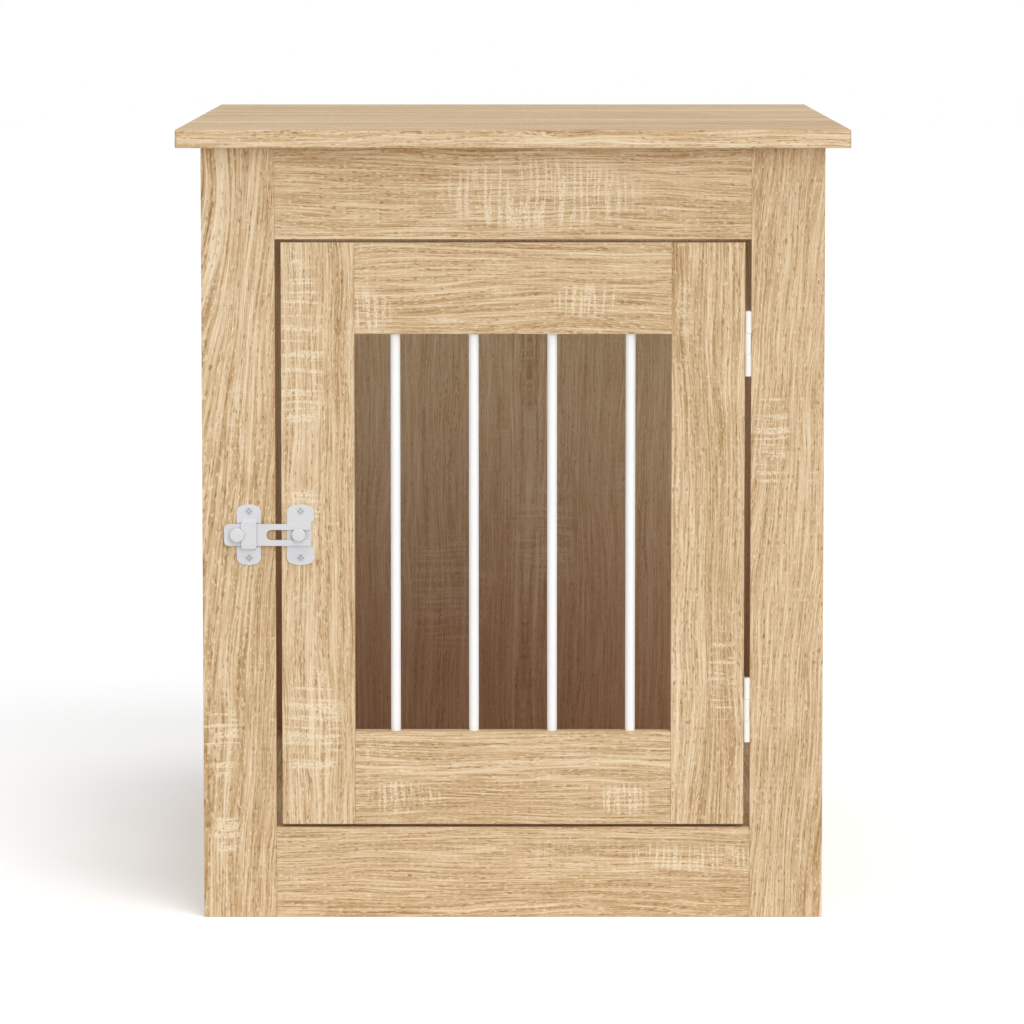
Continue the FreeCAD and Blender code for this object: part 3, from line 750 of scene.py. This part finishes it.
def countersink(plate, seat, way, head, thickness):
    """Opens a plate for the head of a screw that is driven in along an axis."""
    wide, narrow = head + SINK_PLAY + BEFORE, head + SINK_PLAY - thickness
    start, end = seat - way * BEFORE, seat + way * (thickness + BEYOND)
    cut(plate, taper("countersink", wide, narrow, start, end))


# ---- Hinges ----

LEAF_THICKNESS = 1.2 * MM
LEAF_CORNER = 3 * MM
LEAF_EASE = 0.15 * MM
LEAF_FROM_PIVOT = 2.4 * MM
ROLL_OVERLAP = 1 * MM  # how far a knuckle's root reaches into its leaf
KNUCKLE_RADIUS = 2.3 * MM
KNUCKLE_GAP = 0.2 * MM
KNUCKLE_SIDES = 48
PIN_RADIUS = 1.1 * MM
PIN_PLAY = 0.05 * MM
PIN_HEAD = 1.9 * MM
PIN_HEAD_HEIGHT = 0.8 * MM
PIN_EASE = 0.25 * MM
HINGE_SCREW = 2.3 * MM
HINGE_SHANK = 1.2 * MM
HINGE_SCREW_LENGTH = 10 * MM
HINGE_RECESS = 1.6 * MM
HINGE_SCREW_RISE = 1.05  # from the middle, in thirds of the hinge


def hinge(level):
    """A butt hinge: two rolled leaves with their screws, and a headed pin."""
    pivot = centre_of(f"{level}_hinge_pin")
    frame_low, frame_high = corners(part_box(f"{level}_hinge_frame_leaf"))
    door_low, _ = corners(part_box(f"{level}_hinge_door_leaf"))
    low_z, high_z, back_y = frame_low.z, frame_high.z, frame_high.y
    front_y = pivot.y + LEAF_FROM_PIVOT
    third = (high_z - low_z) / 3

    def upright(name, radius, low, high, sides=40):
        """A rod along the pivot."""
        return rod(name, radius, (pivot.x, pivot.y, low), (pivot.x, pivot.y, high), sides)

    for side, knuckles in (("frame", (0, 2)), ("door", (1,))):
        node = f"{level}_hinge_{side}_leaf"
        left = frame_high.x - LEAF_THICKNESS if side == "frame" else door_low.x
        right = left + LEAF_THICKNESS
        leaf = cuboid(f"{node}_rolled", (left, front_y, low_z), (right, back_y, high_z))
        round_edges(
            leaf,
            lambda edge: runs_along("x")(edge) and middle(edge).y > back_y - 0.1 * MM,
            LEAF_CORNER,
        )
        for number in knuckles:
            low = low_z + third * number + (KNUCKLE_GAP / 2 if number else 0)
            high = low_z + third * (number + 1) - (KNUCKLE_GAP / 2 if number < 2 else 0)
            weld(
                leaf,
                cuboid("root", (left, pivot.y, low), (right, front_y + ROLL_OVERLAP, high)),
                upright("knuckle", KNUCKLE_RADIUS, low, high, KNUCKLE_SIDES),
            )
        cut(leaf, upright("bore", PIN_RADIUS + PIN_PLAY, low_z - 1 * MM, high_z + 1 * MM))

        inner, way = (left, Vector((1, 0, 0))) if side == "frame" else (right, Vector((-1, 0, 0)))
        seats = [
            Vector((inner, (front_y + back_y) / 2, pivot.z + hand * third * HINGE_SCREW_RISE))
            for hand in (-1, 1)
        ]
        for seat in seats:
            countersink(leaf, seat, way, HINGE_SCREW, LEAF_THICKNESS)
        ease(leaf, LEAF_EASE)
        fit(leaf, hinge_paint, node)
        first = screw(
            f"{node}_screw_0",
            seats[0],
            way,
            HINGE_SCREW,
            HINGE_SHANK,
            HINGE_SCREW_LENGTH,
            HINGE_RECESS,
        )
        second = copy(first, f"{node}_screw_1", seats[1] - seats[0])
        for piece in (first, second):
            finish(piece, screw_paint, node, "screw_metal")

    pin = f"{level}_hinge_pin"
    shank = upright(f"{pin}_headed", PIN_RADIUS, low_z, high_z + PIN_HEAD_HEIGHT / 2)
    weld(shank, upright("head", PIN_HEAD, high_z, high_z + PIN_HEAD_HEIGHT))
    ease(shank, PIN_EASE, 4)
    fit(shank, pin_steel, pin)


for level in ("upper", "lower"):
    hinge(level)


# ---- Slide latch ----

PLATE_HEIGHT = 50 * MM
PLATE_THICKNESS = 1.5 * MM
PLATE_ARCH = 3 * MM
PLATE_CORNER = 6.5 * MM
PLATE_EASE = 0.2 * MM
ARCH_SIDES = 128
LATCH_HEIGHT = centre_of("latch_bolt_bar").z
SCREW_RISE = 19.25 * MM
LATCH_SCREW = 3.2 * MM
LATCH_SHANK = 1.7 * MM
LATCH_SCREW_LENGTH = 12.5 * MM
LATCH_RECESS = 2.4 * MM
INWARDS = Vector((0, 1, 0))
HAIR = 0.01 * MM  # how near to a face an edge on it lies

STRAP_INSET = 3.5 * MM
STRAP_FOOT, STRAP_CROWN = 13.5, 11.3  # half heights in millimetres, at the plate and in front
STRAP_SINK = 0.7 * MM
STRAP_CORNER = 2.4 * MM
STRAP_RIM = 0.5 * MM
STRAP_THICKNESS = 1.5 * MM
PASSAGE_HALF = 9.3 * MM

WAIST_DEPTH = 2.4 * MM
WAIST_HALF = 11 * MM
WAIST_SHOULDER = 1.3 * MM
WAIST_FILLET = 0.9 * MM

BOLT_BACK_CORNER = 4 * MM
BOLT_TIP_CORNER = 0.8 * MM
BOLT_EASE = 0.25 * MM
SLOT_HALF = 4.2 * MM
SLOT_LENGTH = 36.2 * MM
SLOT_SIDES = 48

BUTTON_SIDES = 64
BUTTON_BACK_RIM = 0.3 * MM
STEM_OVERLAP = 0.5 * MM
CUT_PAST = 2 * MM  # how far a cutter of the bolt reaches past it


def across_latch(left, right, front, back, half_height, name="cutter"):
    """A cuboid of the latch, centred on its height."""
    return cuboid(
        name,
        (left, front, LATCH_HEIGHT - half_height),
        (right, back, LATCH_HEIGHT + half_height),
    )


def arched_plate(name, left, right):
    """A plate on the wood with rounded corners, whose ends are arched."""
    half = (right - left) / 2
    radius = (half**2 + PLATE_ARCH**2) / (2 * PLATE_ARCH)
    shift = PLATE_HEIGHT / 2 - radius
    plate = across_latch(left, right, FRONT - PLATE_THICKNESS, FRONT, PLATE_HEIGHT / 2, name)
    round_edges(plate, runs_along("y"), PLATE_CORNER, 12)
    x = (left + right) / 2
    arch = rod(
        "arch",
        radius,
        (x, FRONT - 3 * MM, LATCH_HEIGHT),
        (x, FRONT + 3 * MM, LATCH_HEIGHT),
        ARCH_SIDES,
    )
    for hand in (-1, 1):
        edit(
            arch,
            "FACE",
            lambda face: (middle(face).z - LATCH_HEIGHT) * hand > 0.1 * MM
            and abs(face.normal.y) < 0.5,
        )
        bpy.ops.transform.translate(value=(0, 0, hand * shift))
        let_go()
    apply_modifier(plate, "BOOLEAN", operation="INTERSECT", object=arch, solver="EXACT")
    bpy.data.objects.remove(arch)
    return plate


def screwed_on(plate, node):
    """Countersinks a plate, and puts its two screws in."""
    x = centre_of(node).x
    seats = [
        Vector((x, FRONT - PLATE_THICKNESS, LATCH_HEIGHT + hand * SCREW_RISE))
        for hand in (-1, 1)
    ]
    for seat in seats:
        countersink(plate, seat, INWARDS, LATCH_SCREW, PLATE_THICKNESS)
    low = screw(
        f"{node}_low",
        seats[0],
        INWARDS,
        LATCH_SCREW,
        LATCH_SHANK,
        LATCH_SCREW_LENGTH,
        LATCH_RECESS,
    )
    high = copy(low, f"{node}_high", seats[1] - seats[0])
    fit(join(f"{node}_pair", [low, high]), screw_paint, node)


def near(x, half_height):
    """A test for the outward edges of a latch piece at an x and a distance from its middle."""

    def test(edge):
        spot = middle(edge)
        off = abs(abs(spot.z - LATCH_HEIGHT) - half_height)
        return runs_along("y")(edge) and abs(spot.x - x) < 0.1 * MM and off < 0.1 * MM

    return test


# the guide: a plate on the stile, and the strap that the bolt slides under
guide_low, guide_high = corners(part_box("latch_guide"))
guide = arched_plate("latch_guide_plate", guide_low.x, guide_high.x)
strap_left, strap_right = guide_low.x + STRAP_INSET, guide_high.x - STRAP_INSET
strap = across_latch(
    strap_left, strap_right, guide_low.y, FRONT - STRAP_SINK, STRAP_FOOT * MM, "strap"
)
edit(strap, "FACE", lambda face: face.normal.y < -0.5)
bpy.ops.transform.resize(
    value=(1, 1, STRAP_CROWN / STRAP_FOOT), center_override=(0, 0, LATCH_HEIGHT)
)
round_edges(
    strap,
    lambda edge: abs(edge.verts[0].co.y - edge.verts[1].co.y) > 1 * MM,
    STRAP_CORNER,
)
round_edges(strap, lambda edge: middle(edge).y < guide_low.y + HAIR, STRAP_RIM, 3)
weld(guide, strap)
passage = across_latch(
    strap_left - 5 * MM,
    strap_right + 5 * MM,
    guide_low.y + STRAP_THICKNESS,
    FRONT - PLATE_THICKNESS,
    PASSAGE_HALF,
)
cut(guide, passage)
screwed_on(guide, "latch_guide_screws")
ease(guide, PLATE_EASE)
fit(guide, latch_paint, "latch_guide")

# the keeper: a plate on the door, waisted beside the stud
keeper_low, keeper_high = corners(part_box("latch_keeper"))
keeper = arched_plate("latch_keeper_plate", keeper_low.x, keeper_high.x)
waist = keeper_high.x - WAIST_DEPTH
cut(
    keeper,
    across_latch(waist, keeper_high.x + 5 * MM, FRONT - 3 * MM, FRONT + 3 * MM, WAIST_HALF),
)
round_edges(keeper, near(keeper_high.x, WAIST_HALF), WAIST_SHOULDER, 5)
round_edges(keeper, near(waist, WAIST_HALF), WAIST_FILLET, 4)
screwed_on(keeper, "latch_keeper_screws")
ease(keeper, PLATE_EASE)
fit(keeper, latch_paint, "latch_keeper")

# the bolt: a flat bar with rounded back corners, forked at its tip by a slot with a round end
bolt_low, bolt_high = corners(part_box("latch_bolt_bar"))
bolt = cuboid("latch_bolt_forked", bolt_low, bolt_high)
round_edges(
    bolt,
    lambda edge: runs_along("y")(edge) and middle(edge).x < bolt_low.x + 1 * MM,
    BOLT_BACK_CORNER,
    8,
)
round_edges(
    bolt,
    lambda edge: runs_along("y")(edge) and middle(edge).x > bolt_high.x - 1 * MM,
    BOLT_TIP_CORNER,
    4,
)
slot_end = bolt_high.x - SLOT_LENGTH + SLOT_HALF
slot_front, slot_back = bolt_low.y - CUT_PAST, bolt_high.y + CUT_PAST
cut(
    bolt,
    weld(
        across_latch(slot_end, bolt_high.x + CUT_PAST, slot_front, slot_back, SLOT_HALF),
        rod(
            "slot_end",
            SLOT_HALF,
            (slot_end, slot_front, LATCH_HEIGHT),
            (slot_end, slot_back, LATCH_HEIGHT),
            SLOT_SIDES,
        ),
    ),
)
ease(bolt, BOLT_EASE, 3)
fit(bolt, latch_paint, "latch_bolt_bar")


def button(name, node, stem, head_thickness, rim):
    """A turned button: a stem, and a wide head with a soft rim."""
    low, high = corners(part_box(node))
    x, z, head = (low.x + high.x) / 2, (low.z + high.z) / 2, (high.x - low.x) / 2
    under = low.y + head_thickness
    cap = rod(name, head, (x, low.y, z), (x, under, z), BUTTON_SIDES)
    round_edges(cap, lambda edge: middle(edge).y < low.y + HAIR, rim, 6)
    round_edges(cap, lambda edge: middle(edge).y > under - HAIR, BUTTON_BACK_RIM, 2)
    weld(cap, rod("stem", stem, (x, under - STEM_OVERLAP, z), (x, high.y, z)))
    smooth(cap)
    fit(cap, latch_paint, node)


button("latch_knob_turned", "latch_knob", 3 * MM, 2.6 * MM, 1.1 * MM)
button("latch_stud_turned", "latch_stud", 3.7 * MM, 2.2 * MM, 0.9 * MM)


# ---- Dowels, hidden in the corners ----

DOWEL_RELIEF = 0.05 * MM

dowel_wood = Finish("beech_dowel", roughness=0.6)
dowel_axes = dowel_wood.place()
pith = dowel_wood.noise(dowel_axes["x"] / 30, dowel_axes["y"] / 1.2, dowel_axes["z"] / 1.2, 3)
dowel_wood.feed("Base Color", dowel_wood.mix(pith, tint(226, 192, 152), tint(202, 160, 118)))
dowel_wood.bump(pith, DOWEL_RELIEF)
dowels = bpy.data.objects["panel_dowels"]
dowels.data.materials.clear()
dowels.data.materials.append(dowel_wood.material)


# ---- Room and light ----

WHITE = (1, 1, 1, 1)
FLOOR_GREY = (0.8, 0.8, 0.8, 1)
FLOOR_GLOW = 0.26
FLOOR_SIZE = 40
FLOOR_DROP = 0.0002  # so that the floor doesn't coincide with the crate's underside
ROOM_LIGHT = 0.29

# degrees to the right of the door and up from the floor, strength, and softness in degrees
SUNS = {
    "key_sun": (21, 38, 0.84, 30),
    "top_sun": (24, 76, 0.98, 26),
    "right_sun": (38, 5, 0.71, 30),
    "left_sun": (-38, 5, 0.66, 30),
}

# light meets a grey floor, and the camera sees a white one
white_floor = Finish("studio_floor", roughness=0.9)
plain = white_floor.node("ShaderNodeBsdfDiffuse", {}, {"Color": FLOOR_GREY})["BSDF"]
bright = white_floor.node("ShaderNodeBsdfDiffuse", {}, {"Color": WHITE})["BSDF"]
glow = white_floor.node("ShaderNodeEmission", {}, {"Strength": FLOOR_GLOW})["Emission"]
lit = white_floor.node("ShaderNodeAddShader", {}, {0: bright, 1: glow})["Shader"]
white_floor.show("Material Output", plain, lit)

let_go()
bpy.ops.mesh.primitive_plane_add(size=FLOOR_SIZE, location=(0, 0, -FLOOR_DROP))
floor = settled("studio_floor")
floor.data.materials.append(white_floor.material)

world = bpy.data.worlds.new("studio")
bpy.context.scene.world = world
world.use_nodes = True
sky = Nodes(world.node_tree)
room = sky.tree.nodes["Background"]
room.inputs["Color"].default_value = WHITE
room.inputs["Strength"].default_value = ROOM_LIGHT
white = sky.node("ShaderNodeBackground", {}, {"Color": WHITE, "Strength": 1})["Background"]
sky.show("World Output", Field(sky, room.outputs[0]), white)


def sun(name, across, height, strength, softness):
    """Light from far off, turned so many degrees to the right of the door and up from the floor."""
    light = bpy.data.lights.new(name, "SUN")
    light.energy, light.angle = strength, radians(softness)
    lamp = bpy.data.objects.new(name, light)
    bpy.context.scene.collection.objects.link(lamp)
    towards = Vector(
        (
            sin(radians(across)) * cos(radians(height)),
            -cos(radians(across)) * cos(radians(height)),
            sin(radians(height)),
        )
    )
    lamp.rotation_euler = towards.to_track_quat("Z", "Y").to_euler()


for name, settings in SUNS.items():
    sun(name, *settings)


# ---- Camera ----

PHOTO_WIDTH = 1024
FOCAL_PIXELS = 5736
SENSOR = 36
CAMERA_HEIGHT = 798.7 * MM
CAMERA_BACK = 4685 * MM
CAMERA_SIDE = -0.8 * MM
CAMERA_TILT = 5.638
FARTHEST = 100

lens = bpy.data.cameras.new("camera")
lens.sensor_width = SENSOR
lens.lens = FOCAL_PIXELS / PHOTO_WIDTH * SENSOR
lens.clip_end = FARTHEST
camera = bpy.data.objects.new("camera", lens)
bpy.context.scene.collection.objects.link(camera)
camera.location = (CAMERA_SIDE, FRONT - CAMERA_BACK, CAMERA_HEIGHT)
camera.rotation_euler = (radians(90 - CAMERA_TILT), 0, 0)
bpy.context.scene.camera = camera
bpy.context.scene.view_settings.view_transform = "Standard"
